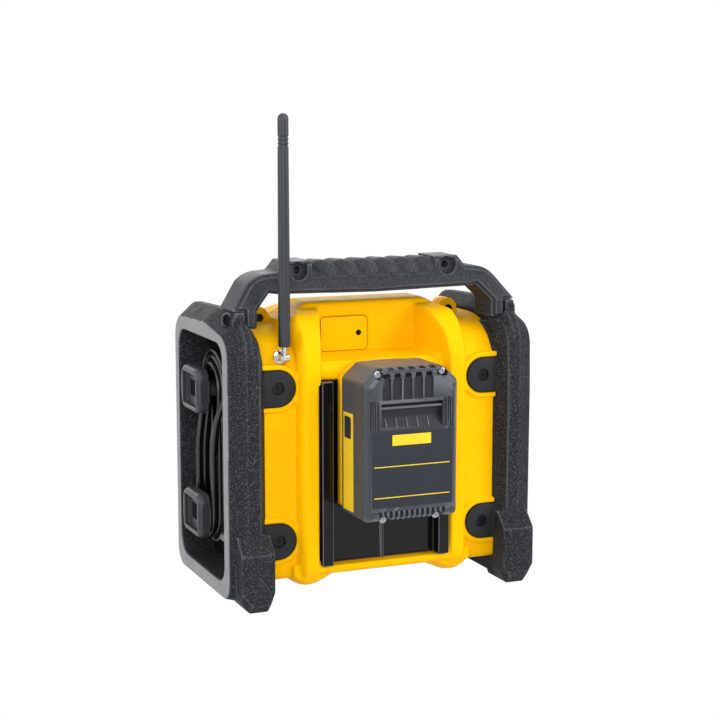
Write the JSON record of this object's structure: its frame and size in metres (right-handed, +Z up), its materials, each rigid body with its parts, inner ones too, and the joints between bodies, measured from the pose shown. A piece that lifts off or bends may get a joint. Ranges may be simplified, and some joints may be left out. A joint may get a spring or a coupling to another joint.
{
  "type": "jobsite radio",
  "caption": "Boxy portable radio: yellow casing between black protective end frames, top handle, slide-on battery pack, folding antenna and a mains lead wound on cleats.",
  "frame": {"origin": "middle of the object's footprint, on the surface it stands on", "axes": "+Z up, +Y towards the back with the battery pack, +X towards the end with the lead cleats"},
  "size_m": [0.26, 0.2024, 0.3767],
  "materials": {
    "yellow": "satin",
    "frame_black": "coarse grain",
    "handle_black": "fine grain",
    "black_plastic": "satin",
    "bay_gloss": "gloss",
    "grey_plastic": "satin",
    "steel": "brushed",
    "chrome": "polished",
    "rod_rubber": "matt",
    "lead_rubber": "satin",
    "cell_metal": "wrapped in film",
    "board": "solder mask",
    "brass": "plain",
    "paper_cone": "matt",
    "window": "clear",
    "display_grey": "matt",
    "copper": "enamelled wire",
    "iron": "varnished sheets"
  },
  "bodies": {
    "radio": {"front_case": "yellow", "rear_case": "yellow", "memory_door": "yellow", "end_frame_left": "frame_black", "end_frame_right": "frame_black", "end_panel_left": "black_plastic", "end_panel_right": "black_plastic", "handle": "handle_black", "bay_liner": "bay_gloss", "bay_terminal_block": "grey_plastic", "bay_terminal_blades": "brass", "frame_screws": "steel", "lug_screws": "steel", "handle_screws": "steel", "memory_door_screw": "steel", "memory_cell": "steel", "memory_cell_holder": "grey_plastic", "antenna_socket": "chrome", "speaker_grilles": "black_plastic", "speaker_baskets": "grey_plastic", "speaker_cones": "paper_cone", "speaker_magnets": "iron", "control_panel": "black_plastic", "display_window": "window", "display_module": "display_grey", "main_board": "board", "encoders": "steel", "key_switches": "steel", "transformer_core": "iron", "transformer_coil": "copper", "cleats": "grey_plastic", "strain_relief": "lead_rubber", "lead_winding": "lead_rubber", "lead_feed": "lead_rubber", "lead_tail": "lead_rubber", "plug_body": "lead_rubber", "plug_pins": "brass"},
    "battery_pack": {"pack_base": "yellow", "pack_cover": "black_plastic", "pack_screws": "steel", "pack_cells": "cell_metal", "pack_cell_holders": "grey_plastic", "pack_board": "board", "pack_terminals": "brass"},
    "pack_button": {"pack_release": "grey_plastic"},
    "antenna_knuckle": {"antenna_swivel": "chrome", "antenna_pin": "steel"},
    "antenna": {"antenna_stem": "chrome", "antenna_rod": "rod_rubber"},
    "volume_control": {"volume_knob": "black_plastic", "volume_shaft": "steel"},
    "tuning_control": {"tuning_knob": "black_plastic", "tuning_shaft": "steel"},
    "power_key": {"key_power": "grey_plastic"},
    "mode_key": {"key_mode": "grey_plastic"},
    "down_key": {"key_down": "grey_plastic"},
    "up_key": {"key_up": "grey_plastic"},
    "memory_key": {"key_memory": "grey_plastic"}
  },
  "joints": [
    {"name": "antenna_swing", "type": "hinge", "parent": "radio", "child": "antenna_knuckle", "pos_m": [0.0805, 0.0359, 0.1925], "axis": [0, 1, 0], "range_deg": [-15, 25]},
    {"name": "antenna_tilt", "type": "hinge", "parent": "antenna_knuckle", "child": "antenna", "pos_m": [0.0805, 0.0464, 0.1925], "axis": [-1, 0, 0], "range_deg": [0, 90]},
    {"name": "pack_slide", "type": "slide", "parent": "radio", "child": "battery_pack", "axis": [0, 0, 1], "range_m": [0, 0.07]},
    {"name": "pack_button_pull", "type": "slide", "parent": "battery_pack", "child": "pack_button", "axis": [0, 1, 0], "range_m": [0, 0.0035], "stiffness_N_per_m": 600, "springref_m": -0.002},
    {"name": "volume_turn", "type": "hinge", "parent": "radio", "child": "volume_control", "pos_m": [0.0505, -0.0826, 0.171], "axis": [0, 1, 0], "continuous": true},
    {"name": "tuning_turn", "type": "hinge", "parent": "radio", "child": "tuning_control", "pos_m": [-0.0535, -0.0826, 0.171], "axis": [0, 1, 0], "continuous": true},
    {"name": "power_press", "type": "slide", "parent": "radio", "child": "power_key", "axis": [0, 1, 0], "range_m": [0, 0.001], "stiffness_N_per_m": 400, "springref_m": -0.001},
    {"name": "mode_press", "type": "slide", "parent": "radio", "child": "mode_key", "axis": [0, 1, 0], "range_m": [0, 0.001], "stiffness_N_per_m": 400, "springref_m": -0.001},
    {"name": "down_press", "type": "slide", "parent": "radio", "child": "down_key", "axis": [0, 1, 0], "range_m": [0, 0.001], "stiffness_N_per_m": 400, "springref_m": -0.001},
    {"name": "up_press", "type": "slide", "parent": "radio", "child": "up_key", "axis": [0, 1, 0], "range_m": [0, 0.001], "stiffness_N_per_m": 400, "springref_m": -0.001},
    {"name": "memory_press", "type": "slide", "parent": "radio", "child": "memory_key", "axis": [0, 1, 0], "range_m": [0, 0.001], "stiffness_N_per_m": 400, "springref_m": -0.001}
  ]
}
